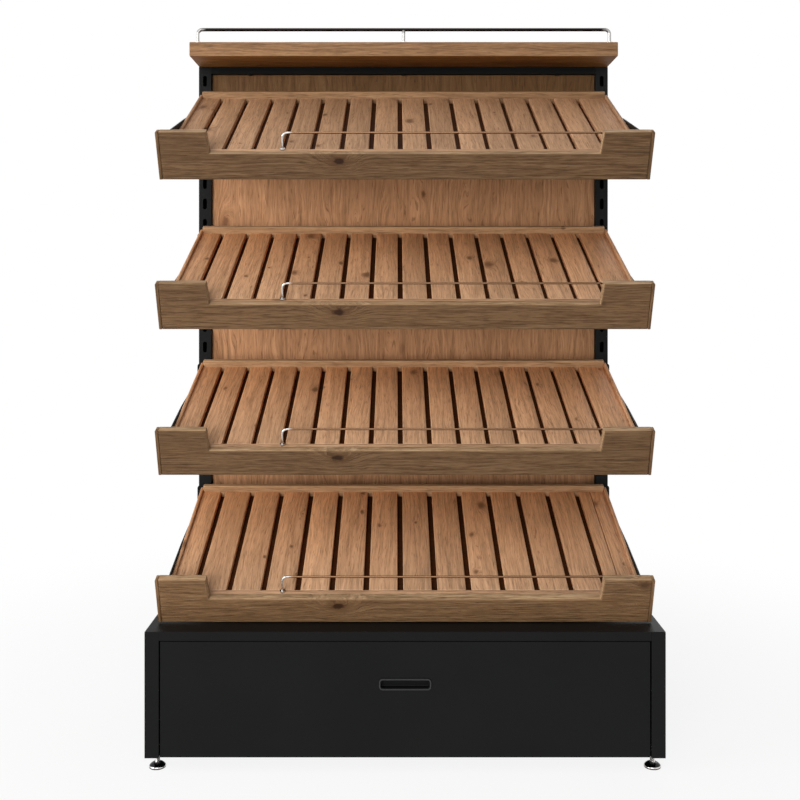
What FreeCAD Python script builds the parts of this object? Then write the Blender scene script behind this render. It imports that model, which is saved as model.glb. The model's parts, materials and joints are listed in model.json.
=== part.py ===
import FreeCAD, Part
import math
import os

# Slatted display rack. Millimetres and degrees. X runs to the right, the front faces -Y, Z is up.
# The origin is on the floor, at the middle of the rack's outline.

# Shared values
cut_overrun = 2.0
running_gap = 0.4
seat_gap = 0.3
straight_share = 0.001

# Cabinet
base_width = 1030.0
base_depth = 550.0
base_height = 250.0
base_lift = 32.0
sheet = 1.5
side_flange = 28.0
top_flange = 18.0

# Drawer
drawer_reveal = 2.0
drawer_front_depth = 18.0
drawer_front_setback = 2.0
drawer_front_lip = 40.0
drawer_sheet = 1.2
drawer_back_room = 28.5
drawer_box_height = 155.0
drawer_box_lift = 12.0
drawer_screw_diameter = 5.0
drawer_screw_head = 10.0
drawer_screw_head_height = 2.5
drawer_screw_inset = 13.0
drawer_screw_tip = 6.0
drawer_screw_height_shares = (0.12, 0.85)

# Flush pull
pull_width = 106.0
pull_height = 25.0
pull_rim = 4.0
pull_wall = 1.2
pull_depth = 15.0
pull_rise = 30.0
pull_corner = 5.0

# Drawer runners
runner_height = 45.0
runner_sheet = 1.5
runner_reach = 12.5
runner_front_inset = 20.0
spacer_height = 60.0
spacer_lift = 58.0

# Levelling feet
foot_pad_diameter = 34.0
foot_pad_rim = 3.0
foot_pad_height = 10.0
foot_neck_diameter = 14.0
foot_stem_diameter = 10.0
foot_stem_top = 75.0
foot_side_inset = 18.0
foot_front_inset = 35.0
foot_back_inset = 90.0
foot_thread_gap = 0.08
foot_hole_gap = 0.6
nut_flats = 17.0
nut_height = 8.0

# Frame
upright_inset = 15.0
upright_width = 30.0
upright_depth = 60.0
upright_wall = 2.0
top_room = 21.0
slot_width = 9.0
slot_length = 26.0
slot_pitch = 50.0
slot_first_rise = 36.0
slot_top_margin = 20.0
crossbar_height = 17.0
crossbar_depth = 20.0
panel_setback = 15.0
panel_thick = 12.0
panel_side_gap = 0.2

# Top board and gallery rail
top_board_overhang = 0.0
top_board_depth = 180.0
top_board_thick = 33.0
top_board_edge = 1.5
rail_diameter = 8.0
rail_height = 36.0
rail_bend = 10.0
rail_end_inset = 17.5
rail_front_inset = 15.0
socket_diameter = 16.0
socket_height = 3.0
socket_gap = 0.05
board_screw_diameter = 5.0
board_screw_head = 10.0
board_screw_head_height = 2.5
board_screw_grip = 20.0
board_screw_shares = (-0.8, 0.0, 0.8)

# Trays, lowest first
tray_tilts = (20.3, 20.2, 23.7, 26.0)
tray_drops = (0.0, 1.5, 6.0, 1.0)
tray_slots_apart = 6
tray_setback = 20.5
tray_lift = 0.5
board_overhang = 0.0
board_thick = 20.0
board_height = 100.0
board_low = 55.0
board_end = 105.5
notch_flare = 4.5
board_edge = 1.5
strip_depth = 13.0
strip_height = 35.0
tray_back_room = 90.0
slat_thick = 12.0
backing_thick = 3.0
slat_edge = 0.8
slat_shift = -9.0
slat_pitch = 60.0
slat_gap = 10.5
wide_slat_pitch = 70.0
wide_slat_gap = 12.0
wide_slat_trays = 1
border_width = 32.0
border_seam = 2.0
side_rail_thick = 7.0
side_rail_height = 43.0
side_rail_rise = 6.0
back_rail_thick = 12.0
back_rail_height = 50.0
back_rail_rise = 15.0
rail_edge = 2.0
bearer_width = 30.0
bearer_height = 20.0
bearer_shares = (0.25, 0.75)

# Wire fences
fence_diameter = 4.5
fence_height = 39.0
fence_bend = 12.0
fence_left_share = 0.498
fence_right_past = 12.5
ferrule_diameter = 11.0
ferrule_height = 4.0
ferrule_gap = 0.05

# Brackets
bracket_thick = 3.0
bracket_rises = (10.0, 10.0, 16.0, 30.0)
bracket_level_shares = (0.42, 0.42, 0.15, 0.5)
bracket_knee_share = 0.4
bracket_heel_height = 150.0
bracket_heel_drop = 14.0
bracket_heel_rise = 8.0
bracket_heel_overhang = 3.0
heel_round_share = 0.9
bracket_ledge = 20.0
hook_height = 18.0
hook_depth = 4.0
hook_drop = 8.0
hook_top_margin = 5.0

# Places that follow from the sizes above
display_height = slot_pitch * tray_slots_apart * len(tray_tilts) + top_room
V = FreeCAD.Vector
along_x = V(1, 0, 0)
along_y = V(0, 1, 0)
along_z = V(0, 0, 1)
front_y = -base_depth / 2
rear_y = base_depth / 2
base_half = base_width / 2
opening_half = base_half - side_flange
floor_top_z = base_lift + sheet
base_top_z = base_lift + base_height
upright_outer = base_half - upright_inset
upright_x = upright_outer - upright_width / 2
upright_rear_y = rear_y - sheet
upright_front_y = upright_rear_y - upright_depth
frame_half = upright_x - upright_width / 2
drawer_face_y = front_y + drawer_front_setback
drawer_back_y = drawer_face_y + drawer_front_depth
drawer_box_depth = upright_front_y - drawer_back_y - drawer_back_room
board_under_z = base_top_z + display_height
board_top_z = board_under_z + top_board_thick
slot_first_z = base_top_z + slot_first_rise
slot_count = int((display_height - slot_first_rise - slot_top_margin - slot_length / 2) / slot_pitch) + 1
slot_heights = [slot_first_z + slot_pitch * i for i in range(slot_count)]
board_half = upright_outer + board_overhang
low_half = board_half - board_end
notch_half = low_half + notch_flare
side_rail_outer = upright_x - bracket_thick / 2
side_rail_inner = side_rail_outer - side_rail_thick
slat_front = board_thick + strip_depth
slat_length = upright_front_y - front_y - tray_setback - tray_back_room
slat_rear = slat_front + slat_length
fence_left = -fence_left_share * board_half
fence_right = low_half + fence_right_past
rail_low = board_low + side_rail_rise - side_rail_height


def block(x_span, y_span, z_span):
    """Box between two places on each axis."""
    corner = V(x_span[0], y_span[0], z_span[0])
    return Part.makeBox(x_span[1] - x_span[0], y_span[1] - y_span[0], z_span[1] - z_span[0], corner)


def rod(start, direction, length, diameter):
    """Round bar from a point."""
    return Part.makeCylinder(diameter / 2, length, start, direction)


def ring(start, direction, length, outer, inner):
    """Round bar with a bore right through it."""
    back = direction * cut_overrun
    bore = rod(start - back, direction, length + cut_overrun * 2, inner)
    return rod(start, direction, length, outer).cut(bore)


def mirrored(shape):
    """The same shape on the other side of the middle plane."""
    return shape.mirror(V(0, 0, 0), along_x)


def edges_along(shape, direction):
    """Straight edges of a shape that run along a direction."""
    found = []
    for edge in shape.Edges:
        run = edge.Vertexes[-1].Point - edge.Vertexes[0].Point
        if run.Length > 0 and run.cross(direction).Length < run.Length * straight_share:
            found.append(edge)
    return found


def rounded_block(x_span, y_span, z_span, radius):
    """Box whose four edges along Y are rounded."""
    solid = block(x_span, y_span, z_span)
    return solid.makeFillet(radius, edges_along(solid, along_y))


def tube(x_span, y_span, z_span, wall, axis):
    """Rectangular tube along X or Z."""
    x_wall = -cut_overrun if axis == "x" else wall
    z_wall = -cut_overrun if axis == "z" else wall
    inner_x = (x_span[0] + x_wall, x_span[1] - x_wall)
    inner_y = (y_span[0] + wall, y_span[1] - wall)
    inner_z = (z_span[0] + z_wall, z_span[1] - z_wall)
    return block(x_span, y_span, z_span).cut(block(inner_x, inner_y, inner_z))


def bent_rod(left, right, y, foot_z, axis_z, bend, diameter):
    """Rod on two legs, with a quarter bend at each end of its level run."""
    swing = bend * math.sqrt(0.5)
    low = axis_z - bend
    points = [V(left, y, foot_z), V(left, y, low), V(left + bend, y, axis_z)]
    points += [V(right - bend, y, axis_z), V(right, y, low), V(right, y, foot_z)]
    middles = (V(left + bend - swing, y, low + swing), V(right - bend + swing, y, low + swing))
    runs = [
        Part.LineSegment(points[0], points[1]),
        Part.Arc(points[1], middles[0], points[2]),
        Part.LineSegment(points[2], points[3]),
        Part.Arc(points[3], middles[1], points[4]),
        Part.LineSegment(points[4], points[5]),
    ]
    path = Part.Wire([run.toShape() for run in runs])
    section = Part.Wire(Part.makeCircle(diameter / 2, points[0], along_z))
    return path.makePipeShell([section], True, False)


def prism(points, direction):
    """Flat outline pushed along a direction."""
    return Part.Face(Part.makePolygon(points + points[:1])).extrude(direction)


def hexagon_nut(centre, height):
    """Nut that stands on a point, with a running bore for the foot's stem."""
    reach = nut_flats / math.sqrt(3)
    corners = []
    for i in range(6):
        turn = math.radians(60 * i)
        corners.append(centre + V(reach * math.cos(turn), reach * math.sin(turn), 0))
    bore = foot_stem_diameter + foot_thread_gap * 2
    hole = rod(centre - V(0, 0, cut_overrun), along_z, height + cut_overrun * 2, bore)
    return prism(corners, V(0, 0, height)).cut(hole)


def save(name, *solids):
    """Write one named piece, or a group of like pieces."""
    shape = solids[0] if len(solids) == 1 else Part.makeCompound(list(solids))
    shape.exportStep("parts/" + name + ".step")


def foot_places():
    """Name and floor point of each levelling foot."""
    x = base_half - foot_side_inset
    front = front_y + foot_front_inset
    rear = rear_y - foot_back_inset
    return {
        "front_left": V(-x, front, 0),
        "front_right": V(x, front, 0),
        "rear_left": V(-x, rear, 0),
        "rear_right": V(x, rear, 0),
    }


def make_base():
    """Folded sheet cabinet, open at the front for the drawer."""
    post_x = (frame_half - running_gap, frame_half + upright_width + running_gap)
    post_y = (upright_front_y - running_gap, rear_y - sheet)
    post_z = (base_top_z - top_flange, base_top_z + cut_overrun)
    post = block(post_x, post_y, post_z)
    side_z = (base_lift, base_top_z - sheet)

    side = block((opening_half, base_half), (front_y, rear_y), side_z)
    hollow_x = (opening_half - cut_overrun, base_half - sheet)
    hollow_z = (base_lift + sheet, side_z[1] - sheet)
    side = side.cut(block(hollow_x, (front_y + sheet, rear_y - sheet), hollow_z)).cut(post)
    hole = foot_stem_diameter + foot_hole_gap * 2
    for place in foot_places().values():
        if place.x > 0:
            side = side.cut(rod(place, along_z, foot_stem_top, hole))
    save("base_side_right", side)
    save("base_side_left", mirrored(side))

    top = block((-base_half, base_half), (front_y, rear_y), (base_top_z - sheet, base_top_z))
    flange_z = (base_top_z - top_flange, base_top_z)
    top = top.fuse(block((-opening_half, opening_half), (front_y, front_y + sheet), flange_z))
    top = top.removeSplitter().cut(post).cut(mirrored(post))
    save("base_top", top)

    inner_x = (-opening_half, opening_half)
    save("base_back", block(inner_x, (rear_y - sheet, rear_y), (floor_top_z, base_top_z - sheet)))
    floor_front = drawer_back_y + drawer_reveal
    save("base_floor", block(inner_x, (floor_front, rear_y), (base_lift, floor_top_z)))


def make_feet():
    """Domed pads on threaded stems, each with a welded nut and a lock nut."""
    pad_r = foot_pad_diameter / 2
    neck_r = foot_neck_diameter / 2
    nuts = []
    for name, place in foot_places().items():
        crown = (foot_pad_rim + foot_pad_height) / 2
        shoulder = (pad_r + neck_r) / 2
        bulge = V(shoulder + foot_pad_rim / 2, 0, crown + foot_pad_rim / 2)
        rim = V(pad_r, 0, foot_pad_rim)
        neck = V(neck_r, 0, foot_pad_height)
        edges = [
            Part.LineSegment(V(0, 0, 0), V(pad_r, 0, 0)).toShape(),
            Part.LineSegment(V(pad_r, 0, 0), rim).toShape(),
            Part.Arc(rim, bulge, neck).toShape(),
            Part.LineSegment(neck, V(0, 0, foot_pad_height)).toShape(),
            Part.LineSegment(V(0, 0, foot_pad_height), V(0, 0, 0)).toShape(),
        ]
        pad = Part.Face(Part.Wire(edges)).revolve(V(0, 0, 0), along_z, 360)
        root = foot_pad_height / 2
        stem = rod(V(0, 0, root), along_z, foot_stem_top - root, foot_stem_diameter)
        foot = pad.fuse(stem).removeSplitter()
        foot.translate(place)
        save("foot_" + name, foot)
        nuts.append(hexagon_nut(place + V(0, 0, floor_top_z), nut_height))
        nuts.append(hexagon_nut(place + V(0, 0, base_lift - nut_height), nut_height))
    save("foot_nuts", *nuts)


def make_drawer():
    """Pan-shaped front, open box, cup pull and screws."""
    face_y = drawer_face_y
    back_y = drawer_back_y
    half = opening_half - drawer_reveal
    low = base_lift + drawer_reveal / 2
    high = base_top_z - top_flange - drawer_reveal
    pull_z = (low + high) / 2 + pull_rise

    pan = block((-half, half), (face_y, back_y), (low, high))
    wall = drawer_sheet
    hollow_y = (face_y + wall, back_y - wall)
    pan = pan.cut(block((wall - half, half - wall), hollow_y, (low + wall, high - wall)))
    lip = drawer_front_lip
    window_y = (back_y - wall * 2, back_y + cut_overrun)
    pan = pan.cut(block((lip - half, half - lip), window_y, (low + lip, high - lip)))
    cup_half = pull_width / 2 - pull_rim
    cup_high = pull_height / 2 - pull_rim
    gap = seat_gap
    mouth_y = (face_y - cut_overrun, face_y + wall * 2)
    mouth_z = (pull_z - cup_high - gap, pull_z + cup_high + gap)
    pan = pan.cut(rounded_block((-cup_half - gap, cup_half + gap), mouth_y, mouth_z, pull_corner))

    rim_x = (-pull_width / 2, pull_width / 2)
    rim_z = (pull_z - pull_height / 2, pull_z + pull_height / 2)
    pull = rounded_block(rim_x, (front_y, face_y), rim_z, pull_corner)
    cup_y = (front_y, front_y + pull_depth)
    cup_z = (pull_z - cup_high, pull_z + cup_high)
    pull = pull.fuse(rounded_block((-cup_half, cup_half), cup_y, cup_z, pull_corner))
    recess_x = (pull_wall - cup_half, cup_half - pull_wall)
    recess_y = (front_y - cut_overrun, cup_y[1] - pull_wall)
    recess_z = (cup_z[0] + pull_wall, cup_z[1] - pull_wall)
    pull = pull.cut(rounded_block(recess_x, recess_y, recess_z, pull_corner - pull_wall))
    save("flush_pull", pull)

    box_half = runner_inner_face()
    box_z = (floor_top_z + drawer_box_lift, floor_top_z + drawer_box_lift + drawer_box_height)
    box_y = (back_y, back_y + drawer_box_depth)
    box = block((-box_half, box_half), box_y, box_z)
    inside_x = (wall - box_half, box_half - wall)
    inside_z = (box_z[0] + wall, box_z[1] + cut_overrun)
    box = box.cut(block(inside_x, (box_y[0] + wall, box_y[1] - wall), inside_z))

    screws = []
    for side in (-1, 1):
        for share in drawer_screw_height_shares:
            x = side * (box_half - drawer_screw_inset)
            spot = V(x, back_y + wall, box_z[0] + share * drawer_box_height)
            start = spot - along_y * (drawer_screw_tip + wall)
            shank = rod(start, along_y, drawer_screw_tip + wall, drawer_screw_diameter)
            hole = rod(start, along_y, drawer_screw_tip + cut_overrun * 2, drawer_screw_diameter)
            box = box.cut(hole)
            pan = pan.cut(hole)
            screws.append(shank.fuse(rod(spot, along_y, drawer_screw_head_height, drawer_screw_head)))
    save("drawer_front", pan)
    save("drawer_box", box)
    save("drawer_screws", *screws)


def runner_inner_face():
    """How far the drawer box's sides are from the middle plane."""
    return opening_half - drawer_reveal * 2 - runner_reach


def make_runners():
    """Three nested channels a side, on a spacer channel fixed to the cabinet's side."""
    inner_face = runner_inner_face()
    outer_face = inner_face + runner_reach
    y_span = (drawer_back_y + runner_front_inset, drawer_back_y + drawer_box_depth)
    centre_z = floor_top_z + spacer_lift + spacer_height / 2
    nest = runner_sheet + running_gap

    def channel(x_span, height, thick, opens):
        """C section along Y, open towards the middle plane (-1) or away from it (1)."""
        outside = block(x_span, y_span, (centre_z - height / 2, centre_z + height / 2))
        low = x_span[0] - cut_overrun if opens < 0 else x_span[0] + thick
        high = x_span[1] - thick if opens < 0 else x_span[1] + cut_overrun
        inside_z = (centre_z - height / 2 + thick, centre_z + height / 2 - thick)
        inside_y = (y_span[0] - cut_overrun, y_span[1] + cut_overrun)
        return outside.cut(block((low, high), inside_y, inside_z))

    edge = inner_face + nest
    outer = channel((edge, outer_face), runner_height, runner_sheet, -1)
    middle = channel((edge, outer_face - nest), runner_height - nest * 2, runner_sheet, -1)
    inner = channel((inner_face, outer_face - nest * 2), runner_height - nest * 4, runner_sheet, 1)
    spacer = channel((outer_face, base_half - sheet), spacer_height, sheet, 1)
    for name, solid in (("outer", outer), ("middle", middle), ("inner", inner)):
        save("runner_" + name + "_right", solid)
        save("runner_" + name + "_left", mirrored(solid))
    save("runner_spacers", spacer, mirrored(spacer))


def make_frame():
    """Slotted uprights, two crossbars and the back panel between them."""
    x_span = (frame_half, frame_half + upright_width)
    y_span = (upright_front_y, upright_rear_y)
    post = tube(x_span, y_span, (floor_top_z, board_under_z), upright_wall, "z")
    straight = (slot_length - slot_width) / 2
    depth = upright_wall + cut_overrun
    slots = []
    for z in slot_heights:
        x_slot = (upright_x - slot_width / 2, upright_x + slot_width / 2)
        y_slot = (upright_front_y - cut_overrun, upright_front_y + upright_wall + cut_overrun)
        slots.append(block(x_slot, y_slot, (z - straight, z + straight)))
        for end in (z - straight, z + straight):
            slots.append(rod(V(upright_x, y_slot[0], end), along_y, depth + cut_overrun, slot_width))
    post = post.cut(Part.makeCompound(slots))
    save("upright_right", post)
    save("upright_left", mirrored(post))

    bar_x = (-frame_half, frame_half)
    bar_y = (upright_front_y, upright_front_y + crossbar_depth)
    top_bar = tube(bar_x, bar_y, (board_under_z - crossbar_height, board_under_z), sheet, "x")
    low_bar = tube(bar_x, bar_y, (base_top_z, base_top_z + crossbar_height), sheet, "x")
    panel_half = frame_half - panel_side_gap
    panel_y = (upright_front_y + panel_setback, upright_front_y + panel_setback + panel_thick)
    panel_z = (base_top_z + crossbar_height, board_under_z - crossbar_height)
    save("bottom_crossbar", low_bar)
    save("back_panel", block((-panel_half, panel_half), panel_y, panel_z))
    make_top(top_bar)


def make_top(top_bar):
    """Top board, the screws that hold it to its crossbar, and the gallery rail."""
    half = upright_outer + top_board_overhang
    board_front = rear_y - top_board_depth
    board = block((-half, half), (board_front, rear_y), (board_under_z, board_top_z))
    board = board.makeChamfer(top_board_edge, board.Edges)
    bar_low = board_under_z - crossbar_height
    bar_y = upright_front_y + panel_setback / 2
    screws = []
    for share in board_screw_shares:
        head = V(share * frame_half, bar_y, bar_low - board_screw_head_height)
        length = board_screw_head_height + crossbar_height + board_screw_grip
        shank = rod(head, along_z, length, board_screw_diameter)
        board = board.cut(shank)
        top_bar = top_bar.cut(shank)
        cap = rod(head, along_z, board_screw_head_height, board_screw_head)
        screws.append(shank.fuse(cap).removeSplitter())
    save("top_crossbar", top_bar)
    save("top_board", board)
    save("board_screws", *screws)

    rail_x = half - rail_end_inset
    rail_y = board_front + rail_front_inset
    axis_z = board_top_z + rail_height - rail_diameter / 2
    rail = bent_rod(-rail_x, rail_x, rail_y, board_top_z, axis_z, rail_bend, rail_diameter)
    post = rod(V(0, rail_y, board_top_z), along_z, axis_z - board_top_z, rail_diameter)
    save("top_rail", rail.fuse(post))
    bore = rail_diameter + socket_gap * 2
    sockets = []
    for x in (-rail_x, 0, rail_x):
        sockets.append(ring(V(x, rail_y, board_top_z), along_z, socket_height, socket_diameter, bore))
    save("rail_sockets", *sockets)


class Tray:
    """Place of one tray. Its own frame has y up the slope from the front board's face and z square to
    the slats, with zero at the front board's lower front edge."""

    def __init__(self, index):
        self.index = index
        self.name = "tray" + str(index + 1) + "_"
        self.tilt = tray_tilts[index]
        self.lean = math.radians(self.tilt)
        self.y = front_y + tray_setback + board_height * math.sin(self.lean)
        self.z = base_top_z + tray_lift + slot_pitch * tray_slots_apart * index - tray_drops[index]

    def set(self, shape):
        """Turn a shape from the tray's frame into its place."""
        shape.rotate(V(0, 0, 0), along_x, self.tilt)
        shape.translate(V(0, self.y, self.z))
        return shape

    def point(self, x, slope, rise):
        """A point of the tray's frame in its place."""
        y = self.y + slope * math.cos(self.lean) - rise * math.sin(self.lean)
        z = self.z + slope * math.sin(self.lean) + rise * math.cos(self.lean)
        return V(x, y, z)


def make_front_board(tray):
    """Board across the tray's front with raised ends and a lowered middle between sloping shoulders."""
    half = board_half
    outline = [
        V(-half, 0, 0), V(half, 0, 0), V(half, 0, board_height), V(notch_half, 0, board_height),
        V(low_half, 0, board_low), V(-low_half, 0, board_low), V(-notch_half, 0, board_height),
        V(-half, 0, board_height),
    ]
    board = prism(outline, along_y * board_thick)
    front = [edge for edge in board.Edges if edge.BoundBox.YMax < board_thick / 2]
    save(tray.name + "front_board", tray.set(board.makeChamfer(board_edge, front)))


def make_tray_rails(tray):
    """Side rails, rear rail, and the strip, backing sheet and battens that carry the slats."""
    half = side_rail_inner
    side = block((half, side_rail_outer), (board_thick, slat_rear + back_rail_thick),
                 (rail_low, board_low + side_rail_rise))
    upper = [edge for edge in edges_along(side, along_y) if edge.BoundBox.ZMin > rail_low]
    side = side.makeFillet(rail_edge, upper)
    other = mirrored(side)
    save(tray.name + "side_rails", tray.set(side), tray.set(other))

    rear_high = board_low + back_rail_rise
    rear_y_span = (slat_rear, slat_rear + back_rail_thick)
    rear = block((-half, half), rear_y_span, (rear_high - back_rail_height, rear_high))
    upper = [edge for edge in edges_along(rear, along_x) if edge.BoundBox.ZMin > board_low]
    save(tray.name + "rear_rail", tray.set(rear.makeFillet(rail_edge, upper)))

    slat_low = board_low - slat_thick
    bearer_high = slat_low - backing_thick
    carriers = [block((-half, half), (board_thick, slat_front), (board_low - strip_height, board_low))]
    carriers.append(block((-half, half), (slat_front, slat_rear), (bearer_high, slat_low)))
    for share in bearer_shares:
        middle = slat_front + share * slat_length
        y_span = (middle - bearer_width / 2, middle + bearer_width / 2)
        carriers.append(block((-half, half), y_span, (bearer_high - bearer_height, bearer_high)))
    save(tray.name + "bearers", *[tray.set(solid) for solid in carriers])


def make_slats(tray):
    """Slats between the side rails, with one gap at the pattern's middle."""
    half = side_rail_inner
    wide = tray.index < wide_slat_trays
    pitch = wide_slat_pitch if wide else slat_pitch
    gap = wide_slat_gap if wide else slat_gap
    reach = int((half - abs(slat_shift) - gap) / pitch)
    edges = [-half]
    for i in range(-reach, reach + 1):
        centre = slat_shift + pitch * i
        edges += [centre - gap / 2, centre + gap / 2]
    if wide:
        edges += [half - border_width - border_seam, half - border_width]
    edges.append(half)
    slats = []
    for left, right in zip(edges[0::2], edges[1::2]):
        slat = block((left, right), (slat_front, slat_rear), (board_low - slat_thick, board_low))
        middle = board_low - slat_thick / 2
        upper = [edge for edge in edges_along(slat, along_y) if edge.BoundBox.ZMin > middle]
        slats.append(tray.set(slat.makeChamfer(slat_edge, upper)))
    save(tray.name + "slats", *slats)


def make_fence(tray):
    """Bent wire on the strip behind the front board. Gives back its ferrules."""
    y = board_thick + strip_depth / 2
    axis_z = board_low + fence_height - fence_diameter / 2
    wire = bent_rod(fence_left, fence_right, y, board_low, axis_z, fence_bend, fence_diameter)
    save(tray.name + "fence", tray.set(wire))
    bore = fence_diameter + ferrule_gap * 2
    ferrules = []
    for x in (fence_left, fence_right):
        ferrule = ring(V(x, y, board_low), along_z, ferrule_height, ferrule_diameter, bore)
        ferrules.append(tray.set(ferrule))
    return ferrules


def make_brackets(tray):
    """Plate with a ledge under the side rail, a heel on the upright and two hooks in its slots."""
    inner = side_rail_outer
    push = along_x * bracket_thick
    ledge_low = rail_low - bracket_thick
    rail_top = board_low + side_rail_rise
    level = tray.point(inner, slat_front + bracket_level_shares[tray.index] * slat_length, rail_top)
    front_top = tray.point(inner, board_thick, rail_top + bracket_rises[tray.index])
    rail_end = tray.point(inner, slat_rear + back_rail_thick, rail_top)
    heel_top = V(inner, upright_front_y, rail_end.z - bracket_heel_drop)
    heel_low = heel_top - V(0, 0, bracket_heel_height)
    knee = tray.point(inner, slat_front + bracket_knee_share * slat_length, ledge_low)
    front_low = tray.point(inner, board_thick, ledge_low)
    plate = prism([front_low, front_top, level, heel_top, heel_low, knee], push)

    ledge_x = (inner - bracket_ledge, inner + bracket_thick / 2)
    ledge = tray.set(block(ledge_x, (board_thick, slat_rear), (ledge_low, rail_low)))
    heel_x = (inner, frame_half + upright_width + bracket_heel_overhang)
    heel_y = (upright_front_y - bracket_thick, upright_front_y)
    heel = block(heel_x, heel_y, (heel_low.z, heel_top.z + bracket_heel_rise))
    top_edges = [edge for edge in edges_along(heel, along_y) if edge.BoundBox.ZMin > heel_top.z]
    heel = heel.makeFillet(bracket_heel_rise * heel_round_share, top_edges)
    bracket = plate.fuse([ledge, heel])

    reach = heel_top.z - hook_top_margin - slot_length / 2
    upper = max(z for z in slot_heights if z <= reach)
    for slot_z in (upper, upper - slot_pitch):
        seat = slot_z - slot_length / 2 + seat_gap
        hook_x = (inner, inner + bracket_thick)
        lip_y = upright_front_y + upright_wall + seat_gap
        tongue_y = (upright_front_y - bracket_thick, lip_y + hook_depth)
        tongue = block(hook_x, tongue_y, (seat, seat + hook_height))
        lip = block(hook_x, (lip_y, lip_y + hook_depth), (seat - hook_drop, seat + hook_height))
        bracket = bracket.fuse([tongue, lip])
    bracket = bracket.removeSplitter()
    save(tray.name + "brackets", bracket, mirrored(bracket))


def make_trays():
    """Four trays, each with its fence and brackets."""
    ferrules = []
    for index in range(len(tray_tilts)):
        tray = Tray(index)
        make_front_board(tray)
        make_tray_rails(tray)
        make_slats(tray)
        ferrules += make_fence(tray)
        make_brackets(tray)
    save("fence_ferrules", *ferrules)


os.makedirs("parts", exist_ok=True)
make_base()
make_feet()
make_drawer()
make_runners()
make_frame()
make_trays()
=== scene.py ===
"""Looks of a slatted display rack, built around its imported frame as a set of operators."""

import json
import math

import bmesh
import bpy
import numpy as np
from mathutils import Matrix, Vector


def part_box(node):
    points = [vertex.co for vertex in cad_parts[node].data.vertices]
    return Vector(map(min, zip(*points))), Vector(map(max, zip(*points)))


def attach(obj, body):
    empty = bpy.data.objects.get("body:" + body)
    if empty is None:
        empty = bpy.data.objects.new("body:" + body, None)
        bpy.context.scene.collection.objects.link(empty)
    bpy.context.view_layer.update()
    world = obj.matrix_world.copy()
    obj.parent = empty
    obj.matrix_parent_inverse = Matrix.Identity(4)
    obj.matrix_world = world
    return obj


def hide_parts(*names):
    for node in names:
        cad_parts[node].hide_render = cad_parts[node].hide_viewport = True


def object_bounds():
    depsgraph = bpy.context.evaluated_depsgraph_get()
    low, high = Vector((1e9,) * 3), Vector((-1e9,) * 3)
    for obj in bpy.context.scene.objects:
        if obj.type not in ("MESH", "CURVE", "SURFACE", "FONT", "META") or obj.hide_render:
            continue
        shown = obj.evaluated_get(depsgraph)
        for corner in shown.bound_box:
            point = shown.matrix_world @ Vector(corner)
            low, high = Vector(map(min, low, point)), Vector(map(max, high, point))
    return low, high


bl_info = {
    "name": "Slatted display rack",
    "version": (1, 0, 0),
    "blender": (4, 5, 0),
    "location": "3D View > Sidebar > Rack",
    "description": "Dresses a shop rack with oak boards, powder-coated steel and chrome work",
    "category": "Object",
}

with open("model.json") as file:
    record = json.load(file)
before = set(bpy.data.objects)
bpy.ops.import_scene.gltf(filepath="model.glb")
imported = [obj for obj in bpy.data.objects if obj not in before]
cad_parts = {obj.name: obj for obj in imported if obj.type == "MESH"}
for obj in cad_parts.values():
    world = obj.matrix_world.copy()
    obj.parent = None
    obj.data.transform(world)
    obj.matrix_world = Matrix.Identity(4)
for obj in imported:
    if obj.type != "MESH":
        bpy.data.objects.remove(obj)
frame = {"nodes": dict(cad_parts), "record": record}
CAD_BOX = [list(corner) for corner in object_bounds()]
NODES = frame["nodes"]
BODIES = frame["record"]["behaviour"]["bodies"]
BODY_OF = {node: body for body, nodes in BODIES.items() for node in nodes}
SLOT_OF = {part["node"]: part["material_slot"] for part in frame["record"]["subparts"]}
MM = 0.001
SHARP_ANGLE = math.radians(50)
FOLD_ANGLE = math.radians(40)
WELD_REACH = 0.01 * MM
DOUBLES_REACH = 0.001 * MM
# First random seed of each kind of board, to which a tray adds its number
SEEDS = {"slats": 10, "side_rails": 20, "rear_rail": 30, "bearers": 40, "back_panel": 51, "top_board": 52,
         "front_board": 70, "lipping": 90}
# Where the knot of a board without one lies
FAR_OFF = 9.0
# Tone and shelter outside a front board's face, undoing its painted shade: the slats' paler, yellower
# colour
UNSHADED_TONE = 13.0
UNSHADED_RED = -0.6
SEEN_RAYS = ("Is Camera Ray", "Is Glossy Ray", "Is Transmission Ray")


def colour_prop(name, text, default):
    """Colour that a user may change, in linear light."""
    return bpy.props.FloatVectorProperty(name=name, description=text, subtype="COLOR", size=3,
                                         min=0, max=1, default=default)


def length_prop(name, text, default):
    """Length in metres that a user may change."""
    return bpy.props.FloatProperty(name=name, description=text, subtype="DISTANCE", unit="LENGTH",
                                   default=default)


def number_prop(name, text, default):
    """Plain number that a user may change."""
    return bpy.props.FloatProperty(name=name, description=text, default=default)


def tray_props(name, text, default):
    """One number for each tray, lowest first."""
    return bpy.props.FloatVectorProperty(name=name, description=text + ", lowest tray first", size=4,
                                         default=default)


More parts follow.
